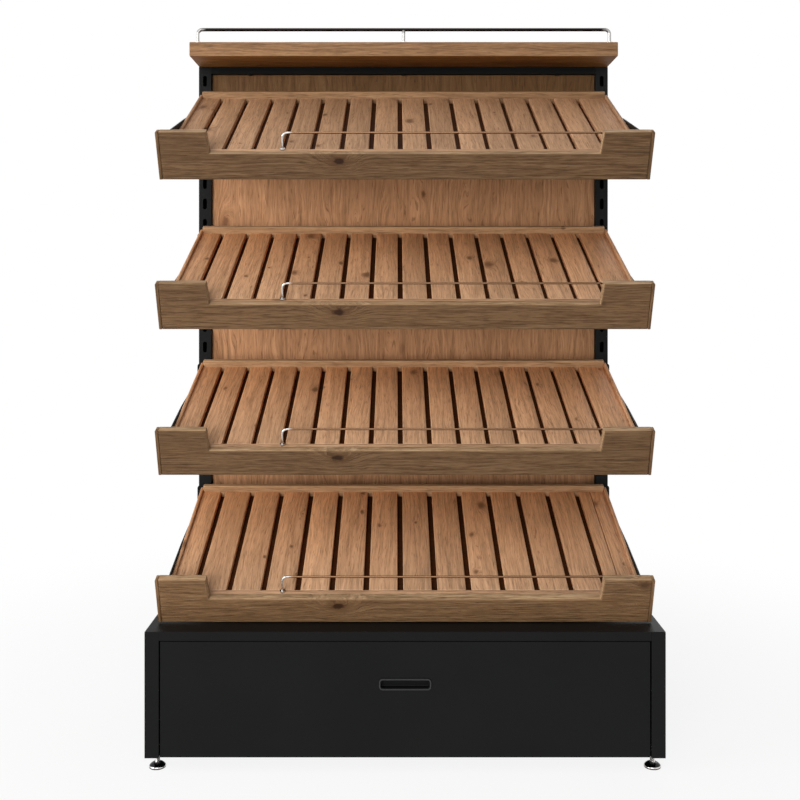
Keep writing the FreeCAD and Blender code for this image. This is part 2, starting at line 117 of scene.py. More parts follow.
class RackWood(bpy.types.PropertyGroup):
    """Sizes and colours of the oak pieces."""
    tray_tilts: bpy.props.FloatVectorProperty(
        name="Tray tilts", description="Slope of each tray, lowest first", subtype="EULER", size=4,
        default=[math.radians(angle) for angle in (20.3, 20.2, 23.7, 26.0)])
    board_height: length_prop("Front board height", "Height of a front board's raised ends", 0.100)
    board_low: length_prop("Lowered height", "Height of a front board's middle", 0.055)
    board_end: length_prop("Raised end", "Width of a front board's raised ends", 0.1055)
    notch_flare: length_prop("Shoulder slope", "How far a raised end draws back towards its top", 0.0045)
    board_thick: length_prop("Front board thickness", "Thickness of a front board", 0.020)
    lipping: length_prop("Lipping", "Thickness of the strip glued to a board's end", 0.0065)
    knot_side: length_prop("Knot place", "X of the large knot in a front board", -0.134)
    knot_rise: number_prop("Knot rise", "Height of that knot as a share of the board", 0.72)
    panel_knot_side: length_prop("Panel knot place", "X of the back panel's knot", -0.438)
    panel_knot_height: length_prop("Panel knot height", "Height of the back panel's knot", 1.125)
    # Painted shade that the top board casts on the back panel's front, growing between these heights
    painted_shade_start: length_prop("Shade start", "Height from which the back panel's front grows darker", 1.34)
    painted_shade_end: length_prop("Shade end", "Height at which it is darkest, under the top board", 1.46)
    # Painted shade on each tray's front face, which leans away from the light, lighter or darker per tray
    face_shade_tones: tray_props("Face tones", "Tone of each tray's front board", (1.9, 0.3, 0.5, 0.0))
    # Painted light on the slats: lifted at the rear against the upper tray's shade, reddened there as
    # bounce light
    front_painted_light: tray_props("Front tones", "Tone gain of the slats at their front", (0.1, 0.1, 0.2, -0.6))
    rear_painted_light: tray_props("Rear tones", "Tone gain of the slats at their rear", (1.9, 1.9, 1.4, -0.7))
    rear_painted_bounce: tray_props("Rear reds", "Redness gain of the slats at their rear", (1.0, 1.0, 1.0, 0.4))
    softening: length_prop("Edge radius", "Radius that the boards' edges are sanded to", 0.0012)
    pale: colour_prop("Pale wood", "Early growth between the rings", (0.46, 0.268, 0.148))
    brown: colour_prop("Brown wood", "Main colour of the oak", (0.338, 0.177, 0.089))
    heart: colour_prop("Heart of a knot", "Wood in the middle of a large knot", (0.060, 0.022, 0.011))
    dark: colour_prop("Dark wood", "Late growth, pores and knots", (0.110, 0.048, 0.021))
    # Painted shade multiplied into the panel's top and the top board's underside
    panel_painted_shade: colour_prop("Panel shade", "Multiplied into the panel's top", (0.26, 0.265, 0.235))
    top_painted_shade: colour_prop("Top shade", "Multiplied into the top board's underside", (0.82, 0.60, 0.30))


class RackSteel(bpy.types.PropertyGroup):
    """Colours and small sizes of the metal pieces."""
    coat: colour_prop("Powder coat", "Matte black paint", (0.0035, 0.0035, 0.0035))
    chrome: colour_prop("Chrome", "Polished plating", (0.68, 0.66, 0.64))
    # Painted reflections in the plating's colour, where the level wires and the rail mirror their
    # surroundings
    wire_upper_reflection: colour_prop("Wire's upper side", "Level wire that mirrors the trays", (0.25, 0.14, 0.08))
    wire_under_reflection: colour_prop("Wire's lower side", "Level wire that mirrors the slats", (0.06, 0.03, 0.016))
    rail_under_reflection: colour_prop("Rail's lower side", "Level rail over the top board", (0.015, 0.0104, 0.0076))
    # Painted reflection of the dark cabinet in the feet's domes
    foot_dome_reflection: colour_prop("Foot dome", "Domes of the feet, which mirror the cabinet", (0.03, 0.03, 0.03))
    zinc: colour_prop("Zinc", "Bright plated steel", (0.56, 0.57, 0.58))
    pull_rim: length_prop("Pull rim", "Width of the flush pull's rim", 0.004)
    pull_wall: length_prop("Pull wall", "Sheet of the flush pull's cup", 0.0012)
    pull_corner: length_prop("Pull corner", "Corner radius of the flush pull's rim", 0.0085)
    fold: length_prop("Fold radius", "Radius along the folded sheet edges", 0.0006)


class RackStage(bpy.types.PropertyGroup):
    """Camera, floor and light."""
    eye_height: length_prop("Eye height", "Camera height above the floor", 0.9575)
    eye_side: length_prop("Eye side", "Camera place along X", -0.018)
    eye_back: length_prop("Eye distance", "Camera place in front of the origin", 2.3295)
    lens: number_prop("Lens", "Focal length in millimetres", 46.8)
    sensor: number_prop("Sensor", "Width of the camera's sensor in millimetres", 36.0)
    principal_u: number_prop("Principal u", "Pixel column of the view axis", 396.0)
    principal_v: number_prop("Principal v", "Pixel row of the horizon", 290.0)
    image_side: number_prop("Image side", "Side of the square image in pixels", 800.0)
    floor_half: length_prop("Floor half", "Half the side of the floor", 14.0)
    paper: colour_prop("Floor", "Pale floor and backdrop", (0.86, 0.86, 0.86))
    fill: number_prop("Fill", "Strength of the even light from all around", 0.26)


class Value:
    """Output socket whose operators add Math nodes."""

    def __init__(self, paint, socket):
        self.paint = paint
        self.socket = socket

    def _math(self, operation, first, second):
        return self.paint.node("ShaderNodeMath", {"operation": operation}, {0: first, 1: second})

    def __add__(self, other):
        return self._math("ADD", self, other)

    def __sub__(self, other):
        return self._math("SUBTRACT", self, other)

    def __rsub__(self, other):
        return self._math("SUBTRACT", other, self)

    def __mul__(self, other):
        return self._math("MULTIPLY", self, other)

    def __truediv__(self, other):
        return self._math("DIVIDE", self, other)

    def __rtruediv__(self, other):
        return self._math("DIVIDE", other, self)

    def __pow__(self, other):
        return self._math("POWER", self, other)

    def __rpow__(self, other):
        return self._math("POWER", other, self)

    def over(self, low, high):
        """Smooth step from 0 at low to 1 at high."""
        return self.paint.node("ShaderNodeMapRange", {"interpolation_type": "SMOOTHSTEP"},
                               {"Value": self, "From Min": low, "From Max": high})

    __radd__ = __add__
    __rmul__ = __mul__


class Paint:
    """Nodes of one material or of the world, written as expressions on Value objects."""

    def __init__(self, name, world=False):
        self.owner = (bpy.data.worlds if world else bpy.data.materials).new(name)
        self.owner.use_nodes = True
        self.tree = self.owner.node_tree
        self.shader = self.tree.nodes["Background" if world else "Principled BSDF"]
        self.output = self.tree.nodes["World Output" if world else "Material Output"]

    def node(self, kind, settings=None, inputs=None, out=0):
        """Adds a node: its settings first, then the values or links of its sockets."""
        made = self.tree.nodes.new(kind)
        for key, value in (settings or {}).items():
            if key == "stops":
                set_stops(made.color_ramp, value)
            else:
                setattr(made, key, value)
        for key, value in (inputs or {}).items():
            self.feed(made.inputs[key], value)
        return Value(self, made.outputs[out])

    def feed(self, socket, value):
        """Links a Value, or sets a plain number, vector or colour."""
        if isinstance(value, Value):
            self.tree.links.new(value.socket, socket)
        elif socket.type == "RGBA" and len(value) == 3:
            socket.default_value = (*value, 1.0)
        else:
            socket.default_value = value

    def vector(self, x, y, z):
        return self.node("ShaderNodeCombineXYZ", None, {0: x, 1: y, 2: z})

    def place(self):
        """Object coordinates."""
        return self.node("ShaderNodeTexCoord", out=3)

    def number(self, attribute):
        """A number that the mesh carries."""
        return self.node("ShaderNodeAttribute", {"attribute_name": attribute}, out=2)

    def triple(self, attribute):
        """A vector that the mesh carries."""
        return self.node("ShaderNodeAttribute", {"attribute_name": attribute}, out=1)

    def parts(self, vector):
        """The three numbers of a vector."""
        split = self.node("ShaderNodeSeparateXYZ", None, {0: vector}).socket.node
        return [Value(self, socket) for socket in split.outputs]

    def noise(self, vector, scale=1.0, detail=2.0, roughness=0.5):
        return self.node("ShaderNodeTexNoise", None,
                         {"Vector": vector, "Scale": scale, "Detail": detail, "Roughness": roughness})

    def blend(self, factor, first, second, mode="MIX"):
        return self.node("ShaderNodeMix", {"data_type": "RGBA", "blend_type": mode},
                         {0: factor, 6: first, 7: second}, out=2)

    def ramp(self, factor, stops):
        return self.node("ShaderNodeValToRGB", {"stops": stops}, {0: factor})

    def bump(self, height, distance, strength=1.0):
        """Relief from a height, fed to the shader's Normal."""
        made = self.node("ShaderNodeBump", None,
                         {"Height": height, "Distance": distance, "Strength": strength})
        self.feed(self.shader.inputs["Normal"], made)

    def finish(self, **sockets):
        """Sets the shader's sockets, with underscores for spaces."""
        for key, value in sockets.items():
            self.feed(self.shader.inputs[key.replace("_", " ")], value)
        return self.owner

    def seen(self):
        """One for rays that the camera, a mirror or a glass sends out, and nought for the light's own."""
        path = self.node("ShaderNodeLightPath").socket.node
        first, second, third = [Value(self, path.outputs[key]) for key in SEEN_RAYS]
        return (first + second + third).over(0.0, 1.0)

    def show_white(self, factor, kind):
        """Lays a white shader of the given kind over the finished one by the factor."""
        white = self.node(kind, None, {"Color": (1.0, 1.0, 1.0), "Strength": 1.0})
        mixed = self.node("ShaderNodeMixShader", None,
                          {0: factor, 1: Value(self, self.shader.outputs[0]), 2: white})
        self.feed(self.output.inputs["Surface"], mixed)


def set_stops(ramp, stops):
    """Replaces a ramp's stops by (place, colour) pairs."""
    while len(ramp.elements) < len(stops):
        ramp.elements.new(1.0)
    for element, (place, colour) in zip(ramp.elements, stops):
        element.position = place
        element.color = (*colour, 1.0)


def shade_of(colour, factor):
    """A colour made lighter or darker."""
    return tuple(min(1.0, channel * factor) for channel in colour)


def oak(name, look, brightness=1.0, hue=(1.0, 1.0, 1.0), knots=0.12, contrast=1.0, sweep=1.0, line=1.0,
        arris=0.4, sheen=0.14, heart_depth=0.93, ring_share=0.5, shade=None):
    """Oak from the grain attribute, whose x runs along the fibres.

    Ring lines are noise stretched along the grain on a warped cross coordinate, w = y + warp(x, y) + pull,
    where pull bends the lines round the board's own knot and round small scattered ones. Pores are a finer
    noise on the same w, and fibres one on y. Tone lightens the wood, at random from board to board and as
    painted light and shade on the slats' rears, the gaps' walls and the front boards. The shelter attribute
    reddens it as painted bounce light in a tray's shade, and below nought yellows it. Edge pales the sanded
    arrises. Sweep widens the warp, so the rings open into arches, line is the ring lines' frequency, and
    ring_share their part of the figure against the fibres. Shade holds a painted shade: two heights between
    which a colour is multiplied in, the depth behind which it isn't, and the colour.
    """
    paint = Paint(name)
    tone = paint.number("tone")
    edge = paint.number("edge")
    shelter = paint.number("shelter")
    along, across, deep = paint.parts(paint.triple("grain"))

    wobble = paint.noise(paint.vector(along * 70.0, across * 110.0, deep * 90.0), detail=3.0)
    cell = paint.node("ShaderNodeTexVoronoi", {"feature": "F1", "voronoi_dimensions": "2D"},
                      {"Vector": paint.vector(along * 8.0, across * 13.0, 0.0), "Scale": 1.0})
    chance, girth = paint.parts(Value(paint, cell.socket.node.outputs["Color"]))[:2]
    live = chance.over(0.99 - knots, 1.01 - knots)
    small = (cell + (wobble - 0.5) * 0.12) / (girth * girth + 0.35)
    small_near = (1.0 - small.over(0.0, 0.34)) * live
    small_heart = (1.0 - small.over(0.03, 0.16)) * live

    knot_along, knot_across, knot_deep = paint.parts(paint.triple("knot"))
    reach = paint.node("ShaderNodeVectorMath", {"operation": "LENGTH"},
                       {0: paint.vector(knot_along * 0.55, knot_across, knot_deep * 0.3)}, out=1)
    reach = reach + (wobble - 0.5) * 0.011
    near = 1.0 - reach.over(0.0, 0.055)
    heart = 1.0 - reach.over(0.004, 0.0090)
    ring = 1.0 - reach.over(0.007, 0.020)

    warp = paint.noise(paint.vector(along * 2.4, across * 13.0, deep * 13.0), detail=3.0)
    cross = across + (warp - 0.5) * (0.020 * sweep) + near * near * 0.030 + small_near * small_near * 0.016
    rings = paint.noise(paint.vector(along * 6.0, cross * (150.0 * line), deep * 90.0),
                        detail=3.0, roughness=0.6)
    fibres = paint.noise(paint.vector(along * 26.0, across * 520.0, deep * 400.0),
                         detail=3.0, roughness=0.65)
    pores = paint.noise(paint.vector(along * 34.0, cross * 620.0, deep * 480.0), detail=2.0)
    broad = paint.noise(paint.vector(along * 2.1, across * 10.0, deep * 10.0), detail=2.0)

    pale = shade_of(look.pale, brightness)
    brown = shade_of(look.brown, brightness)
    dark = shade_of(look.dark, brightness)
    figure = (rings * ring_share + fibres * (1.0 - ring_share) - 0.5) * contrast + 0.5
    base = paint.ramp(figure, [(0.33, shade_of(brown, 0.45)), (0.44, shade_of(brown, 0.80)),
                               (0.53, shade_of(brown, 1.10)), (0.66, pale)])
    base = paint.blend(broad.over(0.42, 0.75) * 0.35, base, shade_of(brown, 0.72))
    pore_mask = (1.0 - pores.over(0.32, 0.44)) * 0.55
    base = paint.blend(pore_mask, base, dark)
    base = paint.blend(small_near * 0.30 + ring * 0.45, base, shade_of(dark, 1.7))
    base = paint.blend(small_heart * 0.86, base, shade_of(dark, 0.85))
    base = paint.blend(heart * heart_depth, base, shade_of(look.heart, brightness))
    base = paint.blend(edge * arris, base, shade_of(pale, 1.15))
    # Tone and shelter carry painted light and shade besides each board's random tone
    lift = tone * 0.20 + 0.90
    red, green, blue = hue
    tint = paint.vector(lift * red, lift * (green - shelter * 0.26), lift * (blue - shelter * 0.54))
    base = paint.blend(1.0, base, tint, "MULTIPLY")
    # Painted shade: the colour is multiplied in between the two heights, in front of the depth
    if shade:
        start, end, behind, colour = shade
        depth, height = paint.parts(paint.place())[1:]
        painted_shade_mask = height.over(start, end) * (1.0 - depth.over(behind, behind + MM))
        base = paint.blend(painted_shade_mask, base, colour, "MULTIPLY")

    relief = fibres * 0.5 - pore_mask * 1.2 + rings * 0.35 - (small_heart + heart) * 0.8
    paint.bump(relief, 0.0004, 0.6)
    rough = fibres * 0.16 + pore_mask * 0.12 + 0.48
    return paint.finish(Base_Color=base, Roughness=rough, Specular_IOR_Level=sheen)


def powder_coat(name, colour, rough=0.44):
    """Matte black paint: fine orange-peel relief, pale specks, and a haze that drifts over the sheet."""
    paint = Paint(name)
    place = paint.place()
    peel = paint.noise(place, scale=1400.0, detail=2.0, roughness=0.6)
    haze = paint.noise(place, scale=3.5, detail=3.0, roughness=0.55)
    speck = paint.noise(place, scale=420.0, detail=1.0).over(0.66, 0.78)
    tone = paint.blend(haze.over(0.3, 0.75), shade_of(colour, 0.88), shade_of(colour, 1.25))
    tone = paint.blend(speck * 0.25, tone, shade_of(colour, 2.2))
    paint.bump(peel, 0.00012, 0.35)
    dullness = haze * 0.10 + peel * 0.08 + rough
    return paint.finish(Base_Color=tone, Roughness=dullness, Specular_IOR_Level=0.13)


def plated(name, colour, rough, drawn, mirrored=None):
    """Plated steel: bright metal with faint polishing marks drawn out along one axis. Where the run
    attribute rises to a half and on to one, it takes the first and then the second mirrored colour,
    which are painted reflections."""
    paint = Paint(name)
    place = paint.place()
    stretched = paint.node("ShaderNodeMapping", None, {"Vector": place, "Scale": drawn})
    marks = paint.noise(stretched, scale=1.0, detail=3.0, roughness=0.6)
    smear = paint.noise(place, scale=24.0, detail=3.0, roughness=0.6)
    tone = paint.blend(smear.over(0.35, 0.8), colour, shade_of(colour, 0.86))
    # Painted reflection laid into the base colour
    if mirrored:
        first, second = mirrored
        run = paint.number("run")
        tone = paint.blend(run.over(0.0, 0.5), tone, first)
        tone = paint.blend(run.over(0.5, 1.0), tone, second)
    paint.bump(marks, 0.00005, 0.2)
    dullness = marks * (rough * 0.6) + smear * (rough * 0.5) + rough * 0.5
    return paint.finish(Base_Color=tone, Metallic=1.0, Roughness=dullness)


def mesh_object(name, node, points, faces, material, attributes=None):
    """Puts arrays into a smooth mesh object that rides on a node's body and takes the given material."""
    mesh = bpy.data.meshes.new(name)
    mesh.from_pydata(points.reshape(-1, 3).tolist(), [], faces)
    for key, (kind, values) in (attributes or {}).items():
        layer = mesh.attributes.new(key, kind, "POINT")
        field = "vector" if kind == "FLOAT_VECTOR" else "value"
        layer.data.foreach_set(field, values.astype(np.float32).ravel())
    mesh.validate()
    mesh.polygons.foreach_set("use_smooth", np.full(len(mesh.polygons), True))
    mesh.set_sharp_from_angle(angle=SHARP_ANGLE)
    mesh.materials.append(material)
    piece = bpy.data.objects.new(name, mesh)
    bpy.context.scene.collection.objects.link(piece)
    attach(piece, BODY_OF[node])
    return piece


def grid_faces(rows, columns, first=0):
    """Quads between neighbours of a grid that closes round its columns."""
    row, column = np.meshgrid(np.arange(rows - 1), np.arange(columns), indexing="ij")
    turn = (column + 1) % columns
    quads = np.stack([row * columns + column, row * columns + turn,
                      (row + 1) * columns + turn, (row + 1) * columns + column], axis=-1)
    return (quads.reshape(-1, 4) + first).tolist()


def turned(points, angle):
    """Points turned about the X axis."""
    c, s = math.cos(angle), math.sin(angle)
    spin = np.array([[1, 0, 0], [0, c, s], [0, -s, c]])
    return points @ spin


def solid_boxes(node, angle):
    """Centre and half size of each solid of a node, in a frame that is turned about X by the angle."""
    mesh = NODES[node].data
    corners = np.zeros(len(mesh.vertices) * 3, np.float32)
    mesh.vertices.foreach_get("co", corners)
    mesh.calc_loop_triangles()
    triangles = np.zeros(len(mesh.loop_triangles) * 3, np.int32)
    mesh.loop_triangles.foreach_get("vertices", triangles)
    corners = corners.reshape(-1, 3).astype(float)
    spots, index = np.unique(np.round(corners, 6), axis=0, return_inverse=True)
    triangles = index.ravel()[triangles].reshape(-1, 3)
    label = np.arange(len(spots))
    while True:
        before = label.copy()
        lowest = label[triangles].min(axis=1)
        np.minimum.at(label, triangles.ravel(), np.repeat(lowest, 3))
        label = label[label]
        if (label == before).all():
            break
    local = turned(spots, -angle)
    boxes = []
    for one in np.unique(label):
        mine = local[label == one]
        boxes.append(((mine.max(0) + mine.min(0)) / 2, (mine.max(0) - mine.min(0)) / 2))
    boxes.sort(key=lambda box: tuple(np.round(box[0], 4)))
    return np.array([box[0] for box in boxes]), np.array([box[1] for box in boxes])


def rounded_boards(centres, halves, radius, steps=3):
    """Boards with rounded edges: centre + sign(d) (half - r) + r d, where d runs over a ball's latitudes
    and longitudes, with each octant's own rows, so the flats lie between the octants."""
    arc = np.linspace(0, math.pi / 2, steps)
    lat = np.concatenate([arc - math.pi / 2, arc])
    lon = np.concatenate([arc + math.pi / 2 * quarter for quarter in range(4)])
    side = np.concatenate([np.full(steps, quarter) for quarter in range(4)])
    up = np.concatenate([np.full(steps, -1.0), np.full(steps, 1.0)])
    sign_x = np.where((side == 0) | (side == 3), 1.0, -1.0)
    sign_y = np.where(side < 2, 1.0, -1.0)
    ball = np.stack([np.cos(lat)[:, None] * np.cos(lon), np.cos(lat)[:, None] * np.sin(lon),
                     np.broadcast_to(np.sin(lat)[:, None], (len(lat), len(lon)))], axis=-1)
    sign = np.stack([np.broadcast_to(sign_x, ball.shape[:2]), np.broadcast_to(sign_y, ball.shape[:2]),
                     np.broadcast_to(up[:, None], ball.shape[:2])], axis=-1)
    flat = (halves - radius)[:, None, None, :] * sign
    points = centres[:, None, None, :] + flat + radius * ball
    rows, columns = ball.shape[:2]
    faces = []
    for board in range(len(centres)):
        first = board * rows * columns
        faces += grid_faces(rows, columns, first)
        faces.append([first + steps * quarter for quarter in (3, 2, 1, 0)])
        top = first + (rows - 1) * columns
        faces.append([top + steps * quarter for quarter in range(4)])
    middle_of_arris = 0.29
    edge = np.clip((1.0 - np.abs(ball).max(axis=-1)) / middle_of_arris, 0.0, 1.0).reshape(1, -1)
    edge = np.broadcast_to(edge, (len(centres), rows * columns))
    return points.reshape(len(centres), -1, 3), faces, edge


def grain_of(points, centres, axis, edge, seed, knots=None, tone=None):
    """Grain coordinates, tone, paler edges and knot of boards.

    The grain vector has the fibres' axis first, and each board is cut from its own place in the log. The
    knot vector is the way from the board's knot, which lies far off on a board without one.
    """
    draw = np.random.default_rng(seed)
    order = ([0, 2, 1], [1, 0, 2], [2, 0, 1])[axis]
    spread = 20.0
    slimness = np.array([1.0, 0.25, 0.25])
    start = draw.uniform(-spread, spread, (len(centres), 1, 3)) * slimness
    local = (points - centres[:, None, :])[..., order]
    far = np.full((len(centres), 1, 3), FAR_OFF)
    away = local - (far if knots is None else np.asarray(knots, float)[:, None, order])
    shade = draw.uniform(0.0, 1.0, (len(centres), 1)) if tone is None else tone
    return {"grain": ("FLOAT_VECTOR", local + start), "knot": ("FLOAT_VECTOR", away),
            "tone": ("FLOAT", np.broadcast_to(shade, points.shape[:2])), "edge": ("FLOAT", edge)}


def merge_corners(piece):
    """Joins the points that meet at a board's flats or at a pole, and turns the faces outwards."""
    work = bmesh.new()
    work.from_mesh(piece.data)
    bmesh.ops.remove_doubles(work, verts=work.verts, dist=DOUBLES_REACH)
    bmesh.ops.recalc_face_normals(work, faces=work.faces)
    work.to_mesh(piece.data)
    work.free()


def dress_boards(node, axis, angle, material, radius, seed, slope=None, painted_wall_light=0.0, gap_shade_from=None,
                 gap_shade=None, knots=None):
    """Replaces a node's plain boards by rounded ones with their own grain. The slope gives the span over
    which a tray's painted light changes, its tone gain at both ends, which lifts the rear against the upper
    tray's shade, and its redness at the rear, a painted bounce light. The wall tone is painted light that
    lightens the boards' lower halves, the walls of the shaded gaps. Boards whose centre lies behind
    gap_shade_from take the stain, a near-black material that is painted shade under the slats."""
    centres, halves = solid_boxes(node, angle)
    points, faces, edge = rounded_boards(centres, halves, radius)
    attributes = grain_of(points, centres, axis, edge, seed, knots)
    # Painted light: tone gain from front to rear against the upper tray's shade, and red bounce light at
    # the rear
    if slope:
        front, rear, front_light, rear_light, rear_bounce = slope
        share = np.clip((points[..., 1] - front) / (rear - front), 0.0, 1.0)
        gain = front_light + (rear_light - front_light) * share
        # Painted light on the lower halves, lightening the shaded walls of the gaps
        low = points[..., 2] < centres[:, None, 2]
        attributes["tone"] = ("FLOAT", attributes["tone"][1] + gain + low * painted_wall_light)
        attributes["shelter"] = ("FLOAT", share * rear_bounce)
    placed = turned(points.reshape(-1, 3), angle)
    piece = mesh_object(node + "_oak", node, placed, faces, material, attributes)
    # Painted shade: boards under the slats take the near-black material, standing in for the gaps' shade
    if gap_shade:
        piece.data.materials.append(gap_shade)
        gap_shaded = (centres[:, 1] > gap_shade_from).astype(np.int32)
        per_board = len(faces) // len(centres)
        piece.data.polygons.foreach_set("material_index", np.repeat(gap_shaded, per_board))
    merge_corners(piece)
    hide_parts(node)


def softened(node, material, radius):
    """Gives a steel node its finish and a small radius along its folded edges."""
    repaint(node, material)
    weld = NODES[node].modifiers.new("weld", "WELD")
    weld.merge_threshold = WELD_REACH
    bevel = NODES[node].modifiers.new("fold", "BEVEL")
    bevel.width = radius
    bevel.segments = 2
    bevel.limit_method = "ANGLE"
    bevel.angle_limit = FOLD_ANGLE
    bevel.use_clamp_overlap = True
    bevel.harden_normals = False


def repaint(node, material):
    """Gives a node a new finish."""
    piece = NODES[node]
    piece.data.materials.clear()
    piece.data.materials.append(material)


def front_shade_tone(points, arris, face_shade):
    """Tone of a front board: painted shade on its forward-leaning face and arris, and the lit tone behind
    them.
    """
    face_shade_depth = arris * 0.8
    return np.where(points[..., 1] < face_shade_depth, face_shade, UNSHADED_TONE)


def front_board(tray, angle, look, material):
    """Front board with raised ends: an outline carried through the thickness, drawn in at both faces by a
    quarter round, with a lipping strip at each end."""
    node = f"tray{tray}_front_board"
    low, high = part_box(node)
    half = (high.x - low.x) / 2
    glue_line = 0.15 * MM
    inner = half - look.lipping - glue_line
    notch = half - look.board_end
    shoulder = notch + look.notch_flare
    outline = np.array([[-inner, 0], [inner, 0], [inner, look.board_height], [shoulder, look.board_height],
                        [notch, look.board_low], [-notch, look.board_low],
                        [-shoulder, look.board_height], [-inner, look.board_height]])
    radius = look.softening * 2.0
    arc = np.linspace(0, math.pi / 2, 4)
    inset = radius * (1 - np.sin(arc))
    depth = radius * (1 - np.cos(arc))
    rear_share = 0.2
    inset = np.concatenate([inset, inset[::-1] * rear_share])
    depth = np.concatenate([depth, look.board_thick - depth[::-1] * rear_share])
    run = np.roll(outline, -1, axis=0) - outline
    run /= np.linalg.norm(run, axis=1, keepdims=True)
    normal = np.stack([run[:, 1], -run[:, 0]], axis=1)
    before = np.roll(normal, 1, axis=0)
    mitre = (normal + before) / (1 + (normal * before).sum(axis=1, keepdims=True))
    rings = outline[None] - inset[:, None, None] * mitre[None]
    depths = np.broadcast_to(depth[:, None], rings.shape[:2])
    points = np.stack([rings[..., 0], depths, rings[..., 1]], axis=-1)
    count = len(outline)
    faces = grid_faces(len(depth), count)
    faces.append(list(range(count)))
    faces.append([(len(depth) - 1) * count + i for i in range(count - 1, -1, -1)])
    points = points.reshape(1, -1, 3)
    edge = np.concatenate([np.sin(2 * arc), np.zeros(len(arc))])
    edge = (edge[:, None] * (np.abs(outline[:, 0]) < inner)).reshape(1, -1)
    knot = [[look.knot_side, 0.0, look.board_low * look.knot_rise]]
    # This tray's painted shade on the front face
    face_shade = look.face_shade_tones[tray - 1]
    board = grain_of(points, np.zeros((1, 3)), 0, edge, SEEDS["front_board"] + tray, knot,
                     front_shade_tone(points, radius, face_shade))

    strip_half = np.array([look.lipping, look.board_thick, look.board_height]) / 2
    right_end = np.array([half, 0.0, 0.0]) + strip_half * [-1.0, 1.0, 1.0]
    ends = np.stack([right_end * [-1.0, 1.0, 1.0], right_end])
    sizes = np.broadcast_to(strip_half, ends.shape)
    strips, strip_faces, strip_edge = rounded_boards(ends, sizes, look.softening)
    strip = grain_of(strips, ends, 2, np.zeros_like(strip_edge), SEEDS["lipping"] + tray,
                     tone=front_shade_tone(strips, radius, face_shade))
    faces += [[i + points.shape[1] for i in face] for face in strip_faces]
    joined = np.concatenate([points.reshape(-1, 3), strips.reshape(-1, 3)])
    # Painted light: outside the shaded face, the board takes the slats' yellower lit colour
    for part in (board, strip):
        part["shelter"] = ("FLOAT", np.where(part["tone"][1] == UNSHADED_TONE, UNSHADED_RED, 0.0))
    attributes = {}
    for key, (kind, values) in board.items():
        width = 3 if kind == "FLOAT_VECTOR" else 1
        both = [values.reshape(-1, width), strip[key][1].reshape(-1, width)]
        attributes[key] = (kind, np.concatenate(both))
    place = np.array([0.0, low.y + look.board_height * math.sin(angle), low.z])
    piece = mesh_object(node + "_oak", node, turned(joined, angle) + place, faces, material, attributes)
    merge_corners(piece)
    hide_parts(node)


def swept_rod(path, radius, sides=16):
    """Round rod along a path in a plane x, z: each ring stands on the path's point, in the plane of its
    normal and the Y axis. The ends are closed by flat caps."""
    ahead = np.gradient(path, axis=0)
    ahead /= np.linalg.norm(ahead, axis=1, keepdims=True)
    beside = np.stack([-ahead[:, 2], np.zeros(len(path)), ahead[:, 0]], axis=1)
    turn = np.linspace(0, 2 * math.pi, sides, endpoint=False)
    rings = path[:, None, :] + radius * (np.cos(turn)[None, :, None] * beside[:, None, :]
                                         + np.sin(turn)[None, :, None] * np.array([0.0, 1.0, 0.0]))
    faces = grid_faces(len(path), sides)
    faces.append(list(range(sides - 1, -1, -1)))
    faces.append([(len(path) - 1) * sides + i for i in range(sides)])
    return rings.reshape(-1, 3), faces


def arch_path(left, right, foot, top, bend, steps=10):
    """Path up a leg, round a quarter bend, along a level run and down the other leg, the mirrored half of
    the first. The run has a point of its own, one bend past the end of the arc."""
    arc = np.linspace(0, math.pi / 2, steps)
    leg = np.linspace(foot, top - bend, 4)[:-1]
    across = np.concatenate([np.zeros_like(leg), bend * (1 - np.cos(arc)), [2 * bend]])
    height = np.concatenate([leg, top - bend + bend * np.sin(arc), [top]])
    level = np.zeros(len(across))
    rise = np.stack([left + across, level, height], axis=1)
    fall = np.stack([right - across, level, height], axis=1)[::-1]
    return np.concatenate([rise, fall])


def lathe(profile, centre, sides=40):
    """Profile of (radius, height) pairs turned about a vertical axis through the centre."""
    turn = np.linspace(0, 2 * math.pi, sides, endpoint=False)
    points = np.stack([profile[:, :1] * np.cos(turn), profile[:, :1] * np.sin(turn),
                       np.broadcast_to(profile[:, 1:], (len(profile), sides))], axis=-1)
    return (points + np.array(centre)).reshape(-1, 3), grid_faces(len(profile), sides)


def join_meshes(meshes):
    """One pair of points and faces from several."""
    points = []
    faces = []
    count = 0
    for some_points, some_faces in meshes:
        points.append(some_points)
        faces += [[i + count for i in face] for face in some_faces]
        count += len(some_points)
    return np.concatenate(points), faces


